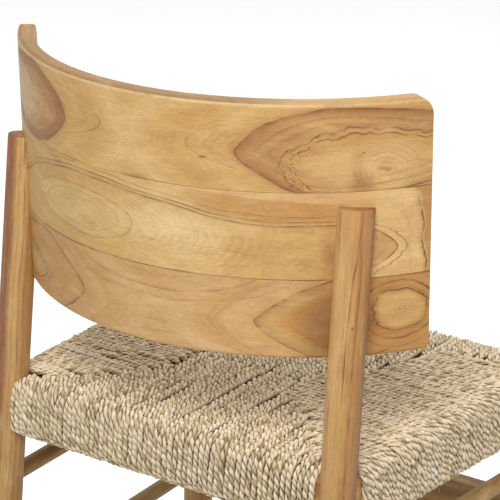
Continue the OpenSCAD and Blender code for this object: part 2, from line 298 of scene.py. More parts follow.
def draw_lines(nodes, lines, s, h, ink=UMBER):
    """Inks ring lines, stronger and weaker along their length."""
    uneven = nodes.step(nodes.noise(s / 22, h / 9, 7.7, 2.5), -0.5, 0.35, 0.25, 1.15)
    nodes.paint(lines * uneven, ink)


class Plank(Nodes):
    """Material of a backrest plank, with the coordinates of its figure in millimetres.

    s runs round the outer face, from the middle to the sitter's left, h up it and depth behind it.
    ws and wh are s and h moved about by sway, as grain wanders. tooth_s and tooth_h are noises that
    make a ring's line run in teeth, along the grain and across it.
    """

    def __init__(self, name, sway):
        super().__init__(name)
        self.s, self.h, self.depth = self.back_coordinates()
        slow_s = self.noise(self.s / 60, self.h / 32, 3.7, 1)
        slow_h = self.noise(self.s / 75, self.h / 30, 9.1, 1)
        fine = self.noise(self.s / 9, self.h / 5, 5.3, 2)
        self.ws = self.s + slow_s * sway + fine * 1.4
        self.wh = self.h + slow_h * 3 + fine * 0.6
        self.tooth_s = self.noise(self.s / 20, self.h / 5, 1.9, 2, 0.6)
        self.tooth_h = self.noise(self.s / 15, self.h / 30, 8.2, 1.5, 0.6)

    def back_coordinates(self):
        """Distance round the backrest, height up it and depth behind its outer face."""
        low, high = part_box("back_plank_bottom")
        rise = high.z - low.z - SEAM_BEVEL
        origin = (0, high.y - rise * math.sin(BACK_TILT), low.z)
        x, y, height = self.place(origin, (-BACK_TILT, 0, 0))
        radius = BACK_RADIUS / MM
        from_centre = y + radius
        round_back = self.math("ARCTAN2", x, from_centre) * radius
        depth = radius - (x * x + from_centre * from_centre).root()
        return round_back, height, depth

    def oval(self, centre, reach, height, power=1.8, teeth=(0, 0)):
        """Ring coordinate round a centre: 1 on the oval that reaches so far to the left and right.

        reach is a pair, or one number for both. A lower power makes the tips sharper. teeth are the
        heights of the teeth along and across the grain. The slope, returned too, turns steps of the
        ring into millimetres.
        """
        left, right = reach if isinstance(reach, tuple) else (reach, reach)
        ds = self.ws + self.tooth_s * teeth[0] - centre[0]
        dh = abs(self.wh + self.tooth_h * teeth[1] - centre[1]) / height
        ds = abs(ds) / self.step(ds, -4, 4, right, left)
        total = self.math("POWER", ds, power) + self.math("POWER", dh, power)
        ring = self.math("POWER", total, 1 / power)
        steep_s = ds / right
        steep_h = dh / height
        slope = (steep_s * steep_s + steep_h * steep_h).root() / (ring + 0.05) + 0.002
        return ring, slope

    def join(self, a, b, blend):
        """Rings round two centres that run together between them."""
        ring = self.math("SMOOTH_MIN", a[0], b[0], blend)
        slope = self.math("MINIMUM", a[1], b[1])
        return ring, slope

    def weak_rings(self, ring, spacing):
        """Low waves for the weak rings between the marked ones, here and there."""
        wave = self.math("FRACT", ring / spacing)
        wave = self.step(wave, 0.0, 0.75) * self.step(wave, 1.0, 0.88)
        amount = self.step(self.noise(self.s / 45, self.h / 18, 4.4, 2), -0.15, 0.6, 0.0, 0.2)
        self.paint(wave * amount, LATE_WOOD)

    def dab(self, centre, radii, strength, colour, ripple=(0, 0)):
        """Paints a soft oval patch. ripple makes its outline uneven."""
        s = self.ws + self.tooth_s * ripple[0]
        h = self.wh + self.tooth_s * ripple[1]
        self.paint(patch(self, s, h, centre, radii) * strength, colour)

    def finish(self, seam_height):
        """Adds the glue line along the edge of a plank, with smears of late wood on it, and the fibres."""
        smear = self.step(self.noise(self.s / 60, 2.0, 6.6, 2), -0.2, 0.5, 0.5, 1.7)
        distance = abs(self.h - seam_height) / smear
        self.paint(self.step(distance, 1.2, 0.2) * 0.55, UMBER)
        return finish_teak(self, self.s, self.h, self.depth)


# How much a ring grows with each millimetre of depth
RING_SLANT = 0.006


def top_plank():
    """Two long ovals whose rings run together, with a fuzzy core, a serrated core and a knot."""
    wood = Plank("teak_top_plank", 7)
    ring, slope = wood.join(wood.oval((172, 222), (160, 75), 44, 1.55),
                            wood.oval((-215, 219), (97, 220), 46, 1.55), 0.5)
    ring = ring + wood.depth * RING_SLANT
    core_left = wood.oval((222, 220), (110, 70), 37, teeth=(9, 4))
    core_right = wood.oval((-245, 205), (84, 140), 38, 1.7, (9, 7))
    knot = wood.oval((-270, 200), 40, 34, 2)
    wood.colour = wood.ramp(ring, {
        0.0: TAN, 0.45: TAN, 0.62: BROWN, 0.74: TAN, 0.86: BROWN, 0.97: RUSSET, 1.03: TAN, 1.10: HONEY,
        1.35: GOLD, 1.7: HONEY, 1.95: GOLD, 2.2: PALE, 2.5: GOLD, 3.2: HONEY})
    wood.wash(core_left[0], 1.15, 0.65, 0.8, srgb(220, 190, 142))
    wood.wash(core_right[0], 1.02, 0.94, 0.85, srgb(212, 165, 104))
    wood.wash(core_right[0], 0.75, 0.45, 0.55, GOLD)
    wood.weak_rings(ring, 0.085)
    top_plank_patches(wood, ring, knot[0])
    lines = top_plank_lines(wood, (ring, slope), core_left, core_right, knot)
    draw_lines(wood, lines, wood.s, wood.h)
    paint_top_edge_light(wood)
    return wood.finish(UPPER_SEAM)


def top_plank_patches(wood, ring, knot):
    """A dark band round the left core, and lighter and darker patches round the knot."""
    wood.paint(patch(wood, wood.s, wood.h, (-60, 250), (60, 26)) * 0.3, ORANGE)
    band = wood.step(ring, 0.6, 0.85, 0.0, 0.55) * wood.step(ring, 1.03, 0.98)
    wood.paint(wood.step(wood.ws, 60, 110) * band, srgb(150, 102, 56))
    wood.dab((-205, 250), (70, 14), 0.6, srgb(222, 176, 112))
    wood.dab((-262, 236), (60, 12), 0.5, ORANGE)
    wood.wash(knot, 1.3, 0.3, 0.6, PALE)
    wood.dab((-212, 202), (30, 28), 0.2, srgb(236, 202, 148))
    wood.dab((-241, 205), (11, 42), 0.55, srgb(196, 148, 88))
    wood.dab((-244, 186), (22, 18), 0.6, srgb(158, 104, 70))
    wood.dab((-269, 201), (12, 4), 0.7, RUSSET, (8, 0))
    wood.dab((-83, 211), (8, 2), 0.9, UMBER, (5, 0))
    wood.dab((-247, 218), (4, 1.8), 0.8, UMBER, (0, 4))
    wood.dab((-9, 179), (34, 4), 0.5, PLUM)


def top_plank_lines(wood, figure, core_left, core_right, knot):
    """Lines of late wood: the long rings, both cores, the faint tips between them and the knot."""
    main = rings(wood, figure, {0.64: 0.3, 0.80: 0.5, 1.0: 1.0, 1.52: 0.15, 2.44: 0.15})
    serrated = rings(wood, core_right, {0.72: 0.15, 0.87: 0.8, 1.0: 0.9}, 0.9, 3.0)
    tangled = (core_right[0] + wood.tooth_s * 0.06, core_right[1])
    tangle = rings(wood, tangled, {0.79: 0.7, 0.94: 0.8}, 0.9, 2.0) * wood.step(wood.ws, -205, -178)
    fuzzy = rings(wood, core_left, {0.62: 0.3, 0.78: 0.4, 0.9: 0.5}, 1.2, 5.0)
    tips = wood.join(wood.oval((108, 229), 71, 26, 1.5), wood.oval((-132, 225), 64, 26, 1.5), 0.1)
    faint = rings(wood, tips, {0.70: 0.3, 1.0: 0.55}, 0.8, 2.5) * wood.step(figure[0], 1.1, 1.2)
    fine = rings(wood, knot, {0.04: 0.9, 0.2: 0.3, 0.36: 0.22, 0.5: 0.25, 0.65: 0.18, 0.8: 0.22}, 0.7, 2.0)
    return wood.larger(main, serrated, tangle, fuzzy, faint, fine)


def paint_top_edge_light(wood):
    """Painted highlight along the arris at the top of the backrest, and painted shade on the top face past
    it.
    """
    edge = BACK_HEIGHT - 2.5
    arris_highlight = wood.step(wood.h, BACK_HEIGHT - 7, edge) * wood.step(wood.depth, 3.5, 1.5)
    # Painted highlight where the arris catches the light, weaker towards the right end
    wood.paint(arris_highlight * wood.step(wood.s, -240, -150, 0.25, 0.6), srgb(240, 208, 164))
    top_face_shade = wood.step(wood.h, edge - 0.6, edge + 0.6)
    # Painted shade on the upward top face, weaker towards the right end
    wood.paint(top_face_shade * wood.step(wood.s, -200, -120, 0.3, 0.8), TOP_FACE_SHADE)


# Ends of the middle plank's colours, a little past the backrest's own
SPAN = 330

# The lowest line of the middle plank's bundle of rings, as places along the plank and heights
SWEEP = [
    (-SPAN, 149), (-219, 148), (-142, 148), (-100, 152.5), (-17, 165), (60, 171), (105, 169),
    (155, 159), (200, 142), (SPAN, 100)]


def middle_plank():
    """A flame on the left, a bundle of rings that sweeps along the plank, and bows by the right post."""
    wood = Plank("teak_middle_plank", 7)
    flame = wood.oval((70, 126), (95, 73), 26)
    bows = wood.oval((-236, 118), (76, 46), 28, 1.35)
    border = wood.oval((-228, 104), 82, 96, 3, (0.8, 0))
    above = wood.wh - wood.curve(wood.ws, -SPAN, SPAN, SWEEP) + wood.depth * 0.4
    wood.colour = wood.ramp(wood.ws + wood.noise(wood.s / 50, wood.h / 20, 2.2, 2) * 60, {
        -SPAN: HONEY, -300: GOLD, -270: PALE, -240: GOLD, -200: HONEY, -150: GOLD, -50: PALE, 40: GOLD,
        140: HONEY, 230: srgb(222, 184, 124), SPAN: TAN})
    wood.dab((-45, 132), (95, 34), 0.85, srgb(246, 213, 158))
    wood.dab((-150, 112), (62, 30), 0.45, srgb(196, 148, 88))
    wood.wash(flame[0], 1.02, 0.94, 0.7, srgb(228, 192, 132))
    wood.weak_rings(flame[0], 0.13)
    middle_plank_right(wood, bows[0], border[0], above)
    wood.dab((165, 168), (18, 5), 0.6, srgb(226, 186, 152))
    draw_lines(wood, middle_plank_lines(wood, flame, bows, border, above), wood.s, wood.h)
    return wood.finish(LOWER_SEAM)


def middle_plank_right(wood, bows, border, above):
    """Gold above the bundle, a lighter wedge along the seam, the bows' colours by the post, and a stain with
    painted shadow beside it.
    """
    ws, wh = wood.ws, wood.wh
    below = wood.step(above, -16, -5) * wood.step(above, 1, 0) * wood.step(ws, -220, -120, 0.4, 1.0)
    wood.paint(below * 0.2, srgb(184, 142, 86))
    by_post = wood.step(ws, -226, -240)
    deep_gold = wood.step(above, -4, 4) * wood.step(ws, -40, -110, 0.0, 0.6) * (1.0 - by_post)
    wood.paint(deep_gold, srgb(196, 140, 80))
    wedge_edge = 181 + ws * 0.0686
    wedge = wood.step(wh - wedge_edge, -1.5, 0.5) * wood.step(ws, -40, -70) * (1.0 - by_post)
    wood.paint(wedge * 0.6, srgb(232, 190, 138))
    wood.paint(by_post * wood.step(bows, 0.95, 1.05, 0.0, 0.5), srgb(236, 194, 134))
    wood.paint(by_post * wood.step(bows, 1.0, 0.9, 0.0, 0.5), srgb(192, 142, 84))
    past_border = by_post * wood.step(border, 0.99, 1.05)
    wood.paint(past_border * 0.7, srgb(180, 124, 68))
    # A stain beside the right rear post, towards the middle, darkened further as painted shadow of the post
    wood.dab((-213, 108), (17, 46), 0.6, srgb(166, 116, 68), (4, 0))


def middle_plank_lines(wood, flame, bows, border, above):
    """Lines of late wood: the flame, the bows within their border, and the bundle."""
    small = rings(wood, flame, {0.45: 0.12, 0.74: 0.25, 1.0: 0.45}, 0.9, 4.0)
    small = small * wood.step(wood.ws, 150, 90, 0.35, 1.0)
    outer_bow = (bows[0] + wood.tooth_s * 0.12, bows[1])
    large = wood.larger(
        rings(wood, bows, {0.5: 0.2, 0.75: 0.3, 1.0: 1.0}, 0.9, 4.0),
        rings(wood, outer_bow, {1.24: 0.8}, 0.8, 2.5),
        rings(wood, border, {0.82: 0.2, 1.0: 1.0}, 0.9, 5.0))
    large = large * wood.step(wood.ws, -222, -246, 0.12, 1.0) * wood.step(above, 30, 2)
    bundle = rings(wood, (above, 1.0), {-4.2: 0.8, 0.0: 0.7, 5.2: 0.4, 12.0: 0.12}, 0.7, 3.0)
    return wood.larger(small, large, bundle * wood.step(wood.ws, -258, -230))


def bottom_plank():
    """Two pointed ovals whose rings run together, low arcs between them, a round knot, and painted shade
    beside the right rear post.
    """
    wood = Plank("teak_bottom_plank", 6)
    ring, slope = wood.join(wood.oval((160, 35), (150, 88), 47, 1.4),
                            wood.oval((-225, 40), (91, 110), 47, 1.3), 0.3)
    ring = ring + wood.depth * RING_SLANT
    knot = wood.oval((-284, 49), 29, 23, 2.1, (3, 3))
    far = wood.oval((196, 32), 42, 17, teeth=(4, 3))
    wood.colour = wood.ramp(ring, {
        0.0: BROWN, 0.35: TAN, 0.6: ORANGE, 0.8: HONEY, 0.96: TAN, 1.03: HONEY, 1.3: srgb(222, 178, 124),
        1.5: HONEY, 1.9: srgb(222, 180, 126), 2.9: HONEY})
    wood.wash(wood.ws, 20, 110, 0.6, TAN)
    wood.wash(far[0], 1.2, 0.6, 0.7, srgb(218, 182, 126))
    wood.weak_rings(ring, 0.11)
    # Painted shade in the groove beside the right rear post, towards the middle
    wood.dab((-213, 34), (54, 80), 0.6, srgb(108, 62, 26))
    wood.wash(wood.ws, -215, -250, 0.85, srgb(192, 140, 76))
    wood.dab((-255, 34), (16, 26), 0.3, srgb(120, 74, 34))
    wood.wash(knot[0], 1.0, 0.7, 0.8, GOLD)
    draw_lines(wood, bottom_plank_lines(wood, (ring, slope), knot, far), wood.s, wood.h)
    return wood.finish(LOWER_SEAM)


def bottom_plank_lines(wood, figure, knot, far):
    """Lines of late wood: the pointed ovals, the arcs between them, the knot and the far core."""
    main = rings(wood, figure, {0.62: 0.15, 1.0: 1.0, 1.44: 0.32}, 1.1, 6.0)
    main = main * wood.step(knot[0], 1.6, 2.0)
    high_arcs = rings(wood, wood.oval((-30, 92), 112, 29, 2), {0.5: 0.2, 1.0: 0.38, 1.33: 0.32}, 0.8, 4.0)
    low_arcs = rings(wood, wood.oval((-42, -4), 95, 20, 2), {0.6: 0.15, 1.0: 0.3}, 0.8, 4.0)
    arcs = wood.larger(high_arcs, low_arcs) * wood.step(figure[0], 1.1, 1.3)
    round_knot = rings(wood, knot, {
        0.10: 0.7, 0.24: 0.3, 0.45: 0.15, 1.0: 1.0, 1.12: 0.4, 1.36: 1.0, 1.75: 0.5}, 0.9, 3.0)
    round_knot = round_knot * wood.step(wood.ws, -205, -240)
    toothed = rings(wood, far, {0.55: 0.5, 0.8: 0.7, 1.0: 0.9, 1.25: 0.5}, 0.8, 3.0)
    return wood.larger(main, arcs, round_knot, toothed)


# Colours across the grain of a leg, by distance in millimetres from its axis
RIGHT_BANDS = {
    -26: TAN, -17: srgb(216, 172, 112), -9: srgb(210, 164, 102), -3: srgb(202, 152, 92), 1: RUSSET,
    4: srgb(198, 144, 84), 8: BROWN, 12: RUSSET, 17: srgb(150, 94, 62), 26: PLUM}
LEFT_BANDS = {
    -24: BROWN, -10: srgb(200, 150, 90), -6: BROWN, -4: srgb(206, 158, 98), 3: srgb(222, 178, 116),
    9: srgb(220, 174, 112), 12: TAN, 14: srgb(172, 118, 82), 22: srgb(158, 106, 74)}

# Dark streaks of the right rear leg: place across it, height, slant, half width and half length
RIGHT_MARKS = [
    (1.4, 664, 0.12, 1.8, 26), (4.6, 700, 0.10, 1.1, 30), (-1.5, 625, 0.05, 1.0, 36),
    (-3.2, 560, 0.01, 0.9, 60), (2.4, 604, 0.0, 1.6, 3.5), (7.5, 650, 0.02, 0.9, 60)]

# Rear legs: turn of the rings in plan, seed, tone, bands and marks
REAR_LEGS = {
    LEFT: (math.radians(35), 3.1, 0.85, LEFT_BANDS, ()),
    RIGHT: (math.radians(215), 4.1, 0.94, RIGHT_BANDS, RIGHT_MARKS)}
FRONT_LEG_TURN = math.radians(215)
FRONT_LEG_TONE = 0.95

# How light the wood of each bar is, and where the figure of the plugs starts. The rails, rungs and front
# board under the seat are made darker as painted shade, and the plugs are darker end grain
BAR_SHADE_TONES = {"rear_rail": 0.66, "front_rail": 0.6, "rear_rung": 0.7, "front_board": 0.55}
SIDE_RAIL_SHADE_TONE = 0.9
RUNG_SHADE_TONE = 0.55
PLUG_TONE = 0.75
PLUG_ORIGIN = (0, 0, 0.6)


def leg_material(name, foot, rake, splay, turn, seed, tone, bands, marks):
    """Straight grain up a leg. The rings lie across the direction turn, an angle in plan."""
    nodes = Nodes(name)
    x, y, z = nodes.place(foot, (rake, splay, 0))
    across = x * math.cos(turn) + y * math.sin(turn)
    deep = y * math.cos(turn) - x * math.sin(turn)
    wander = nodes.noise(z / 170, across / 60, seed, 2) * 5.0 + nodes.noise(z / 38, across / 9, seed, 2) * 0.9
    ring = across + wander + deep * 0.25
    nodes.colour = nodes.ramp(ring, bands)
    lines = rings(nodes, (ring, 1.0), {-12: 0.25, -5: 0.3, 0.5: 0.6, 7: 0.35, 12: 0.35, 17: 0.4}, 0.7, 3.0)
    draw_lines(nodes, lines, z, across, PLUM)
    streak = nodes.noise(z / 75, across / 3.5, seed + 40.0, 2)
    nodes.wash(streak, 0.22, 0.5, 0.6, PLUM)
    nodes.wash(streak, -0.15, -0.5, 0.5, GOLD)
    for place, height, slant, half_width, half_length in marks:
        straight = across - (z - height) * slant
        mark = patch(nodes, straight, z, (place, height), (half_width, half_length))
        nodes.paint(mark * 0.9, BARK_MARK)
    upward = nodes.split(nodes.add("NewGeometry").outputs["Normal"])[2]
    nodes.wash(upward, 0.5, 0.9, 0.6, END_GRAIN)
    # Painted shade: each leg gets darker towards its foot, below the seat
    leg_shade_low = nodes.step(z, 350, 620, 0.88, 1.04)
    return finish_teak(nodes, z, across, deep, leg_shade_low * tone)


def bar_material(name, centre, heading, seed, tone):
    """Straight grain along a level rail, stretcher or board that runs at an angle in plan."""
    nodes = Nodes(name)
    x, y, z = nodes.place(centre, (0, 0, heading))
    ring = z * 0.8 + y * 0.6 + nodes.noise(x / 90, y / 30, seed, 2) * 6.0
    nodes.colour = nodes.ramp(ring, {
        -40: BROWN, -20: HONEY, -8: RUSSET, 0: HONEY, 9: GOLD, 16: BROWN, 28: HONEY, 40: RUSSET})
    lines = rings(nodes, (ring, 1.0), {-14: 0.4, -6: 0.3, 3: 0.5, 12: 0.35, 22: 0.4}, 0.7, 3.0)
    draw_lines(nodes, lines, x, z, PLUM)
    return finish_teak(nodes, x, y, z, tone)


def seagrass():
    """Twisted grass blades, with painted shade in the grooves between plies. The weave's meshes carry a
    straightened coordinate, a tint and a crest height.
    """
    nodes = Nodes("seagrass")
    a, b, along = nodes.split(nodes.add("Attribute", attribute_name="fibre").outputs["Vector"])
    tint = Value(nodes, nodes.add("Attribute", attribute_name="tint").outputs["Fac"])
    crest = Value(nodes, nodes.add("Attribute", attribute_name="crest").outputs["Fac"])
    streak = nodes.noise(a * 1.5, b * 1.5, along / 6, 3, 0.65)
    blade = nodes.noise(a * 0.7, b * 0.7, along / 7, 2)
    nodes.colour = nodes.ramp(tint + blade * 0.9, {
        -0.5: srgb(140, 118, 78), -0.1: srgb(186, 164, 120), 0.25: srgb(220, 198, 158),
        0.55: srgb(238, 219, 184), 0.8: srgb(250, 235, 204), 1.0: srgb(222, 190, 158),
        1.4: srgb(253, 243, 220)})
    nodes.wash(streak, 0.0, 0.5, 0.80, srgb(255, 248, 230))
    nodes.wash(streak, -0.1, -0.6, 0.70, srgb(118, 92, 56))
    # Painted shade in the grooves, where the crest height is low
    groove_shade = nodes.step(crest + streak * 0.6, 0.25, -0.5, 0.0, 0.62)
    nodes.paint(groove_shade, srgb(86, 66, 42))
    nodes.surface(0.58 + streak * 0.12)
    nodes.tell("Specular IOR Level", 0.35)
    nodes.bump(0.5 + streak * 0.5, 0.00035)
    return nodes.owner


def stuffing():
    """Brown straw board between the cords' upper and lower layers. Its brown is darkened as painted shade for
    the gaps between the cords.
    """
    nodes = Nodes("stuffing")
    x, y, z = nodes.place()
    straw = nodes.noise(x / 12, y / 2, z / 2, 3)
    # Straw colours, made dark to serve also as painted shade in the gaps
    nodes.colour = nodes.mix(nodes.step(straw, -0.4, 0.5), srgb(58, 44, 28), srgb(92, 72, 46))
    nodes.surface(0.85 + straw * 0.08)
    nodes.bump(0.5 + straw * 0.5, 0.0008)
    return nodes.owner


def steel():
    nodes = Nodes("steel")
    x, y, z = nodes.place()
    scratch = nodes.noise(x / 0.6, y / 0.6, z / 0.15, 3)
    nodes.colour = nodes.mix(nodes.step(scratch, -0.5, 0.5), srgb(168, 168, 166), srgb(196, 195, 190))
    nodes.surface(0.36 + scratch * 0.1)
    nodes.tell("Metallic", 1.0)
    nodes.bump(0.5 + scratch * 0.3, 0.00005)
    return nodes.owner


def glide_plastic():
    nodes = Nodes("glide")
    x, y, z = nodes.place()
    grain = nodes.noise(x / 0.5, y / 0.5, z / 0.5, 2)
    scuff = nodes.noise(x / 4, y / 4, z / 4, 3)
    nodes.colour = nodes.mix(nodes.step(scuff, -0.2, 0.7), srgb(52, 48, 44), srgb(88, 82, 74))
    nodes.surface(0.6 + scuff * 0.15)
    nodes.bump(0.5 + grain * 0.4, 0.0001)
    return nodes.owner


def centre_of(node):
    low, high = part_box(node)
    return (low + high) / 2


def assign(node, material):
    """Puts one material on a CAD node and leaves its mesh alone."""
    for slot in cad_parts[node].material_slots:
        slot.material = material


def dress_bar(bar, heading, seed, tone):
    assign(bar, bar_material("teak_" + bar, centre_of(bar), heading, seed, tone))


def dress_frame():
    """Materials of the CAD nodes that are shown as they are. Seeds keep their grain apart."""
    assign("back_plank_top", top_plank())
    assign("back_plank_middle", middle_plank())
    assign("back_plank_bottom", bottom_plank())
    for seed, (side, sign) in enumerate((("left", LEFT), ("right", RIGHT))):
        dress_side(side, sign, seed)
    # The bars' tones darken the rails, rear rung and front board as painted shade under the seat
    for seed, (bar, tone) in enumerate(BAR_SHADE_TONES.items()):
        dress_bar(bar, 0, 21.3 + seed, tone)
    dark_teak = bar_material("teak_dowels_and_plugs", PLUG_ORIGIN, 0, 31.7, PLUG_TONE)
    materials = {
        "dowel": dark_teak, "plug": dark_teak, "screw": steel(), "glide": glide_plastic(),
        "seat_stuffing": stuffing()}
    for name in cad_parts:
        for start, material in materials.items():
            if name.startswith(start):
                assign(name, material)


def dress_side(side, sign, seed):
    """Materials of the legs, the seat rail and the stretchers on one side."""
    front_leg = (FRONT_LEG_TURN, 7.4 + seed, FRONT_LEG_TONE, RIGHT_BANDS, ())
    for end, rake, splay, looks in (("rear", LEG_RAKE, -sign * LEG_SPLAY, REAR_LEGS[sign]),
                                    ("front", 0, 0, front_leg)):
        leg = f"{end}_leg_{side}"
        foot = centre_of(f"glide_{end}_{side}")
        assign(leg, leg_material("teak_" + leg, foot, rake, splay, *looks))
    # The side rails and rungs are darkened as painted shade under the seat
    dress_bar(side + "_rail", math.pi / 2, 11.2 + seed, SIDE_RAIL_SHADE_TONE)
    for level in ("upper", "lower"):
        dress_bar(f"{level}_rung_{side}", math.pi / 2, 15.5 + seed, RUNG_SHADE_TONE)


# The cords and their two plies. Lengths are in metres, and the others are shares or counts
PLY_RADIUS = 0.00188
PLY_OFFSET = 0.00165
CORD_RADIUS = PLY_RADIUS + PLY_OFFSET
CORD_PITCH = 0.00675
PITCH_DRIFT = 0.065
CORD_LAY = 0.0165
LAY_RANGE = (0.82, 1.14)
THICKNESS_RANGE = (0.90, 1.04)
BEAD_SWELL = 0.25
PLY_SQUEEZE = (0.95, 1.07)
END_TAPER = 0.003
END_SIZE = 0.25
RING_SIDES = 8
RING_STEP = 0.0022

# How cords and plies waver: a new random number each so many metres, and its spread
SIDE_WAVER = (0.014, 0.00036)
RISE_WAVER = (0.012, 0.00036)
TURN_WAVER = (0.018, 1.0)
SWELL_WAVER = (0.005, 0.17)
TINT_WAVER = (0.006, 0.32)
TINT_SHAPE = 2.2

# Straightened coordinates of the fibres, in millimetres, and their twist in radians a metre
FIBRE_RADIUS = 1.9
FIBRE_TWIST = 260
FIBRE_SHIFT = 400

# Loose ends of fibre. They start at WISP_ROOT of the cord's radius, and WISP_BACK turns their rings
WISPS_PER_CORD = 1.2
WISP_MARGIN = 3
WISP_LENGTH = (0.003, 0.008)
WISP_RADIUS = (0.00032, 0.00012)
WISP_ROWS = 6
WISP_SIDES = 4
WISP_ROOT = 0.9
WISP_AWAY = 0.8
WISP_ASIDE = 0.9
WISP_BEND = 40
WISP_DROOP = np.array((0, 0, -30))
WISP_BACK = (0.3, 0.4, 0.87)
WISP_TINT = (0.4, 1.1)

# The cords' way over a rail, how pairs of them pinch together at their ends, and how slits open
COURSE_STEP = 0.004
COURSE_INNER = 0.002
BEND_POINTS = 9
TUCK_LENGTH = 0.010
TUCK_DEPTH = 0.0060
UNDER_SLOPE = 0.060
SEAM_OVERLAP = 0.005
TENON_SHORT = 0.005
REAR_SHIFT = 0.0025
PINCH = (0.0008, 0.0031)
PINCH_LENGTH = (0.014, 0.042)
SLIT_REACH = 0.016
SLIT_OPENING = 1.4
SLIT_OUTER_EASE = 0.012
SLIT_INNER_EASE = 0.016

# The random slits of each panel
RANDOM_SLITS = 16
RANDOM_SLIT_DEPTH = 0.16
RANDOM_SLIT_LENGTH = (0.015, 0.050)
RANDOM_SLIT_WIDTH = (0.0006, 0.0018)

# Where the side panels' cords meet the others, from the rear leg to the front leg, on each side
SEAMS = {
    LEFT: [
        (0.206, 0.170), (0.190, 0.163), (0.135, 0.117), (0.122, 0.095), (0.095, 0.060), (0.090, 0.036),
        (0.086, -0.045), (0.104, -0.075), (0.118, -0.125), (0.140, -0.190), (0.236, -0.200)],
    RIGHT: [
        (0.206, 0.170), (0.170, 0.150), (0.115, 0.077), (0.075, 0.045), (0.057, 0.036),
        (0.060, -0.045), (0.100, -0.070), (0.116, -0.115), (0.130, -0.175), (0.236, -0.198)]}

# Slits between cords: place along the rail, outer and inner end across the seat, and width
REAR_SLITS = [
    (-0.008, 0.175, -0.040, 0.0030), (0.054, 0.175, 0.080, 0.0036), (0.0375, 0.145, 0.087, 0.0032),
    (-0.057, 0.180, 0.137, 0.0018), (-0.057, 0.092, 0.045, 0.0042), (-0.053, 0.025, 0.000, 0.0028),
    (-0.064, 0.020, 0.000, 0.0026), (-0.077, 0.095, 0.060, 0.0032), (-0.095, 0.090, 0.075, 0.0030),
    (-0.167, 0.166, 0.152, 0.0036), (0.082, 0.150, 0.100, 0.0016), (0.015, 0.100, 0.020, 0.0014),
    (-0.110, 0.118, 0.080, 0.0030), (-0.124, 0.128, 0.092, 0.0026), (-0.138, 0.140, 0.112, 0.0022)]
FRONT_SLITS = [
    (-0.075, 0.017, -0.007, 0.0028), (-0.008, 0.040, -0.060, 0.0020), (0.030, 0.100, 0.050, 0.0020)]
LEFT_SLITS = [
    (0.072, 0.180, 0.130, 0.0044), (0.045, 0.147, 0.095, 0.0044), (0.085, 0.230, 0.130, 0.0036),
    (0.105, 0.150, 0.122, 0.0044), (0.127, 0.190, 0.150, 0.0040), (0.058, 0.215, 0.150, 0.0030)]
RIGHT_SLITS = [
    (0.090, 0.245, 0.195, 0.0036), (0.077, 0.140, 0.112, 0.0040), (-0.060, 0.220, 0.150, 0.0024),
    (0.104, 0.165, 0.136, 0.0030), (0.130, 0.180, 0.152, 0.0026)]


def smooth(t):
    """Eases from 0 to 1."""
    t = np.clip(t, 0, 1)
    return t * t * (3 - 2 * t)


def seam_x(side, y):
    """How far from the middle a side panel's cord at depth y ends."""
    points = sorted((q, p) for p, q in SEAMS[side])
    return np.interp(y, [q for q, p in points], [p for q, p in points])


def seam_y(x, rear):
    """How far from the middle a rear or front cord at x ends, or 0 where it runs from rail to rail."""
    side = LEFT if x > 0 else RIGHT
    points = sorted((p, abs(q)) for p, q in SEAMS[side] if (q > 0) == rear)
    if abs(x) < points[0][0]:
        return 0.0
    return np.interp(abs(x), [p for p, q in points], [q for p, q in points])


def waver(random_source, places, every, amount):
    """Smooth random numbers along a cord, with a new one each so many metres."""
    knots = max(3, int(places[-1] / every))
    return np.interp(places, np.linspace(0, places[-1], knots), random_source.normal(0, amount, knots))


def unit(vectors):
    return vectors / np.linalg.norm(vectors, axis=1)[:, None]


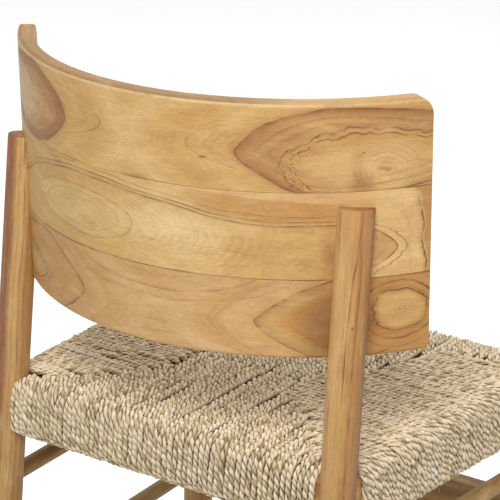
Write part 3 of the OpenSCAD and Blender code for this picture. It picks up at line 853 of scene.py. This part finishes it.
class Weave:
    """Collects two-ply cords into one mesh."""

    def __init__(self, seed):
        self.random = np.random.default_rng(seed)
        self.points = []
        self.faces = []
        self.fibres = []
        self.tints = []
        self.crests = []
        self.count = 0

    def cord(self, path, sideways, outward):
        """Adds a cord along path, whose bends all lie across the direction sideways."""
        steps = np.linalg.norm(np.diff(path, axis=0), axis=1)
        travelled = np.concatenate([[0], np.cumsum(steps)])
        length = travelled[-1]
        places = np.linspace(0, length, max(4, int(round(length / RING_STEP))) + 1)
        centre = np.stack([np.interp(places, travelled, path[:, i]) for i in range(3)], axis=1)
        tangent = unit(np.gradient(centre, axis=0))
        side = unit(np.cross(tangent, np.cross(sideways, tangent)))
        normal = np.cross(tangent, side)
        centre = centre + side * waver(self.random, places, *SIDE_WAVER)[:, None]
        centre = centre + normal * waver(self.random, places, *RISE_WAVER)[:, None]
        lay = CORD_LAY * self.random.uniform(*LAY_RANGE)
        thickness = self.random.uniform(*THICKNESS_RANGE)
        turn = self.random.uniform(0, 2 * math.pi) - 2 * math.pi * places / lay
        turn = turn + waver(self.random, places, *TURN_WAVER)
        for ply in range(2):
            self.ply(centre, side, normal, turn + ply * math.pi, places, thickness)
        away = normal * np.sign(normal[len(normal) // 2] @ outward)
        wisps = self.random.poisson(WISPS_PER_CORD)
        for row in self.random.integers(WISP_MARGIN, len(places) - WISP_MARGIN, wisps):
            self.wisp(centre[row] + away[row] * CORD_RADIUS * WISP_ROOT, away[row])

    def ply(self, centre, side, normal, turn, places, thickness):
        """Adds one of a cord's two strands, which winds round centre."""
        outward = np.cos(turn)[:, None] * side + np.sin(turn)[:, None] * normal
        axis = centre + outward * PLY_OFFSET * thickness
        across = np.cross(unit(np.gradient(axis, axis=0)), outward)
        ends = np.minimum(places, places[-1] - places)
        taper = np.clip(ends / END_TAPER, END_SIZE, 1)
        swell = 1 + waver(self.random, places, *SWELL_WAVER)
        bead = 1 - BEAD_SWELL * np.cos(2 * turn)
        radius = PLY_RADIUS * thickness * swell * taper * bead
        tint = self.random.beta(TINT_SHAPE, TINT_SHAPE) + waver(self.random, places, *TINT_WAVER)
        thin, wide = PLY_SQUEEZE
        self.tube(axis, outward * thin, across * wide, radius, places, tint, RING_SIDES)

    def tube(self, axis, outward, across, radius, places, tint, sides):
        """Adds a tube round axis, with rings spanned by outward and across."""
        angles = np.arange(sides) * 2 * math.pi / sides
        ring = (np.cos(angles)[None, :, None] * outward[:, None, :]
                + np.sin(angles)[None, :, None] * across[:, None, :])
        points = axis[:, None, :] + ring * radius[:, None, None]
        rows = len(places)
        index = self.count + np.arange(rows * sides).reshape(rows, sides)
        after = np.roll(index, -1, axis=1)
        quads = np.stack([index[:-1], after[:-1], after[1:], index[1:]], axis=-1).reshape(-1, 4)
        twisted = angles[None, :] - places[:, None] * FIBRE_TWIST
        shift = self.random.uniform(0, FIBRE_SHIFT)
        fibre = np.stack([np.cos(twisted) * FIBRE_RADIUS + shift, np.sin(twisted) * FIBRE_RADIUS,
                          np.repeat(places[:, None] / MM, sides, axis=1)], axis=-1)
        self.points.append(points.reshape(-1, 3))
        self.faces.append(quads)
        self.fibres.append(fibre.reshape(-1, 3))
        self.tints.append(np.repeat(tint, sides))
        self.crests.append(np.tile(np.cos(angles), rows))
        self.count += rows * sides

    def wisp(self, start, away):
        """Adds a loose end of fibre that stands off a cord and droops."""
        length = self.random.uniform(*WISP_LENGTH)
        places = np.linspace(0, length, WISP_ROWS)
        aside = self.random.uniform(-WISP_ASIDE, WISP_ASIDE, 3)
        bend = self.random.uniform(-WISP_BEND, WISP_BEND, 3) + WISP_DROOP
        axis = start + np.outer(places, away * WISP_AWAY + aside) + np.outer(places ** 2, bend)
        tangent = unit(np.gradient(axis, axis=0))
        outward = unit(np.cross(tangent, WISP_BACK))
        across = np.cross(tangent, outward)
        radius = np.linspace(*WISP_RADIUS, WISP_ROWS)
        tint = np.full(WISP_ROWS, self.random.uniform(*WISP_TINT))
        self.tube(axis, outward, across, radius, places, tint, WISP_SIDES)

    def finish(self, name, material):
        """Makes the collected cords one piece, with the attributes that its material reads."""
        mesh = bpy.data.meshes.new(name)
        points = np.concatenate(self.points)
        faces = np.concatenate(self.faces)
        mesh.vertices.add(len(points))
        mesh.vertices.foreach_set("co", points.ravel())
        mesh.loops.add(faces.size)
        mesh.loops.foreach_set("vertex_index", faces.ravel())
        mesh.polygons.add(len(faces))
        mesh.polygons.foreach_set("loop_start", np.arange(0, faces.size, 4))
        mesh.polygons.foreach_set("use_smooth", np.ones(len(faces), bool))
        mesh.update(calc_edges=True)
        for attribute, kind, field, parts in (
                ("fibre", "FLOAT_VECTOR", "vector", self.fibres),
                ("tint", "FLOAT", "value", self.tints),
                ("crest", "FLOAT", "value", self.crests)):
            values = mesh.attributes.new(attribute, kind, "POINT").data
            values.foreach_set(field, np.concatenate(parts).ravel())
        mesh.materials.append(material)
        piece = bpy.data.objects.new(name, mesh)
        bpy.context.scene.collection.objects.link(piece)
        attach(piece, "root")
        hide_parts("woven_seat")


def course(length, width, height, lean, under_rise):
    """A cord's way in its own plane, from its upper end over the rail to its lower end.

    Returns distances outward from the rail's axis, and heights above the middle of the wrap.
    """
    bend = width / 2 - CORD_RADIUS
    face = height / 2 - width / 2
    top = height / 2 - CORD_RADIUS
    inward = np.arange(length, COURSE_INNER, -COURSE_STEP)
    quarter = np.linspace(0, math.pi / 2, BEND_POINTS)
    down = np.linspace(face, -face, BEND_POINTS)[1:-1]
    tuck = TUCK_DEPTH * smooth(1 - (length - inward) / TUCK_LENGTH)
    rise = under_rise * smooth(inward / UNDER_SLOPE)
    out = np.concatenate([
        -inward, bend * np.sin(quarter), np.full(len(down), bend), bend * np.cos(quarter), -inward[::-1]])
    up = np.concatenate([
        top - tuck, face + bend * np.cos(quarter), down, -face - bend * np.sin(quarter),
        (tuck + rise - top)[::-1]])
    return out - up * math.tan(lean), up


def spread(slits, place, across):
    """Sideways shift of a cord where slits push the cords apart."""
    shift = np.zeros(len(across))
    for centre, outer, inner, width in slits:
        held = smooth((outer - across) / SLIT_OUTER_EASE + 0.5)
        held = held * smooth((across - inner) / SLIT_INNER_EASE + 0.5)
        away = place - centre
        push = math.copysign(SLIT_OPENING * width / 2, away) * math.exp(-abs(away) / SLIT_REACH)
        shift += push * held
    return shift


def random_slits(random_source, first, last, outer):
    """More slits, short and narrow, at random places between the first cord and the last."""
    slits = []
    for _ in range(RANDOM_SLITS):
        place = random_source.uniform(first, last)
        start = random_source.uniform(outer - RANDOM_SLIT_DEPTH, outer)
        end = start - random_source.uniform(*RANDOM_SLIT_LENGTH)
        slits.append((place, start, end, random_source.uniform(*RANDOM_SLIT_WIDTH)))
    return slits


def weave_panel(name, seed, material, outward, cords, slits, wrap, lean=0.0):
    """Weaves the cords over one rail.

    cords lists each cord's place along the rail, the reach of the rail's axis there and the length inward.
    """
    weave = Weave(seed)
    width, height, middle, under_rise = wrap
    outward = np.array(outward, float)
    sideways = np.abs(outward[[1, 0, 2]])
    reach = max(axis for place, axis, length in cords)
    slits = slits + random_slits(weave.random, cords[0][0], cords[-1][0], reach)
    pairs = len(cords) // 2 + 1
    pinch = weave.random.uniform(*PINCH, pairs)
    pinch_length = weave.random.uniform(*PINCH_LENGTH, pairs)
    for index, (place, axis, length) in enumerate(cords):
        out, up = course(length, width, height, lean, under_rise)
        travelled = np.concatenate([[0], np.cumsum(np.hypot(np.diff(out), np.diff(up)))])
        across = axis - length + travelled
        near_end = smooth(1 - travelled / pinch_length[index // 2])
        near_end = near_end + smooth(1 - (travelled[-1] - travelled) / pinch_length[index // 2])
        pull = pinch[index // 2] * (-1 if index % 2 else 1)
        shift = spread(slits, place, across) + pull * near_end
        path = outward * (axis + out)[:, None] + sideways * (place + shift)[:, None]
        path[:, 2] = middle + up
        weave.cord(path, sideways, outward)
    weave.finish(name, material)


def pair_places(places):
    """Middle of each cord's pair, so that the two end together at the seam."""
    pairs = [places[i - i % 2:i - i % 2 + 2] for i in range(len(places))]
    return [np.mean(pair) for pair in pairs]


def cord_places(start, end):
    """Places of the cords along a rail, a little wider apart at the start."""
    count = int(round((end - start) / CORD_PITCH))
    steps = np.arange(count + 1) / count
    return start + (end - start) * (steps + PITCH_DRIFT * steps * (1 - steps))


def wraps():
    """Width, height, middle's height and rise beneath of the wrap round the end rails and the side rails."""
    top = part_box("woven_seat")[1].z
    low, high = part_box("front_rail")
    layer = top - high.z
    width = high.y - low.y + 2 * layer
    end_height = high.z - low.z + 2 * layer
    low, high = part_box("left_rail")
    side_height = high.z - low.z + 2 * layer
    end_wrap = (width, end_height, top - end_height / 2, 0.0)
    side_wrap = (width, side_height, top - side_height / 2, side_height - end_height)
    return end_wrap, side_wrap


def side_cords(side, front, rear_x, rear_y):
    """Cords round a side rail, whose axis runs from the front leg's to the rear leg's."""
    spare = SIDE_NOTCH + CORD_RADIUS
    places = cord_places(front.y + spare, rear_y - spare)
    cords = []
    for y, pair_y in zip(places, pair_places(places)):
        axis = np.interp(y, (front.y, rear_y), (front.x, rear_x))
        cords.append((y, axis, axis - seam_x(side, pair_y) + SEAM_OVERLAP / 2))
    return cords


def end_cords(reach, leg_x, shift, rear):
    """Cords round the rear or front rail, between legs at leg_x."""
    spare = REAR_NOTCH + CORD_RADIUS
    places = cord_places(spare - leg_x + shift, leg_x - spare + shift)
    return [(x, reach, reach - seam_y(pair_x, rear) + SEAM_OVERLAP)
            for x, pair_x in zip(places, pair_places(places))]


def weave_seat():
    """Four panels of cords that wrap the rails and meet along the seams."""
    material = seagrass()
    end_wrap, side_wrap = wraps()
    rear_y = centre_of("rear_rail").y
    rear_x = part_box("rear_rail")[1].x + TENON_SHORT
    front = centre_of("front_leg_left")
    for name, side, seed, slits in (("woven_left", LEFT, 6, LEFT_SLITS),
                                    ("woven_right", RIGHT, 4, RIGHT_SLITS)):
        cords = side_cords(side, front, rear_x, rear_y)
        weave_panel(name, seed, material, (side, 0, 0), cords, slits, side_wrap)
    cords = end_cords(rear_y, rear_x, REAR_SHIFT, True)
    weave_panel("woven_rear", 11, material, (0, 1, 0), cords, REAR_SLITS, end_wrap, LEG_RAKE)
    cords = end_cords(-front.y, front.x, 0, False)
    weave_panel("woven_front", 12, material, (0, -1, 0), cords, FRONT_SLITS, end_wrap)


# Room, light and camera
FLOOR_HALF = 9
FLOOR_GLOW = 0.48
WORLD_LIGHT = 0.36

# Square soft boxes: azimuth from the rear towards the right and elevation, both in degrees,
# distance and size in metres, and power in watts
LAMPS = {
    "key": (28, 45, 3.2, 1.3, 60),
    "fill": (100, 25, 3.4, 2.6, 8),
    "top": (200, 60, 3.0, 2.4, 34)}
LAMP_AIM = Vector((0, 0, 0.5))

SEEN_RAYS = ("Is Camera Ray", "Is Glossy Ray", "Is Transmission Ray")


def seen_itself(nodes):
    """1 for a ray that sees the room itself, and 0 for one that only brings its light."""
    rays = nodes.add("LightPath")
    return nodes.larger(*[Value(nodes, rays.outputs[kind]) for kind in SEEN_RAYS])


def add_floor():
    """Pale floor that keeps the shadow. It looks lighter than the light it sends back to the chair."""
    mesh = bpy.data.meshes.new("floor")
    corners = [(x * FLOOR_HALF, y * FLOOR_HALF, 0) for x, y in ((-1, -1), (1, -1), (1, 1), (-1, 1))]
    mesh.from_pydata(corners, [], [(0, 1, 2, 3)])
    floor = bpy.data.objects.new("floor", mesh)
    bpy.context.scene.collection.objects.link(floor)
    nodes = Nodes("pale_floor")
    x, y, z = nodes.place()
    seen = seen_itself(nodes)
    speck = nodes.noise(x / 90, y / 90, 1.0, 2)
    pale = nodes.mix(nodes.step(speck, -1.0, 1.0), srgb(206, 206, 205), srgb(210, 210, 209))
    nodes.colour = nodes.mix(seen, pale, srgb(250, 250, 250))
    nodes.surface(0.9)
    nodes.tell("Emission Color", WHITE)
    nodes.tell("Emission Strength", seen * FLOOR_GLOW)
    mesh.materials.append(nodes.owner)


def add_world():
    """White to the camera, and a softer light on the chair."""
    nodes = Nodes("studio", bpy.data.worlds, "Background")
    nodes.tell("Color", WHITE)
    nodes.tell("Strength", WORLD_LIGHT + seen_itself(nodes) * (1 - WORLD_LIGHT))
    bpy.context.scene.world = nodes.owner


def aim(item, place, target, roll=0):
    """Puts a lamp or a camera in the scene, turned towards target."""
    holder = bpy.data.objects.new(item.name, item)
    turn = (target - place).to_track_quat("-Z", "Y") @ Quaternion((0, 0, 1), roll)
    holder.matrix_world = Matrix.Translation(place) @ turn.to_matrix().to_4x4()
    bpy.context.scene.collection.objects.link(holder)
    return holder


def add_lamp(name, azimuth, elevation, distance, size, power):
    a, e = math.radians(azimuth), math.radians(elevation)
    direction = Vector((-math.sin(a) * math.cos(e), math.cos(a) * math.cos(e), math.sin(e)))
    light = bpy.data.lights.new(name, "AREA")
    light.size = size
    light.energy = power
    aim(light, LAMP_AIM + distance * direction, LAMP_AIM)


def add_camera():
    camera = bpy.data.cameras.new("camera")
    camera.sensor_width = SENSOR_WIDTH
    camera.lens = CAMERA_LENS
    bpy.context.scene.camera = aim(camera, CAMERA_PLACE, CAMERA_TARGET, CAMERA_ROLL)


dress_frame()
weave_seat()
add_floor()
add_world()
for lamp_name, lamp_settings in LAMPS.items():
    add_lamp(lamp_name, *lamp_settings)
add_camera()
bpy.context.scene.view_settings.view_transform = "Standard"
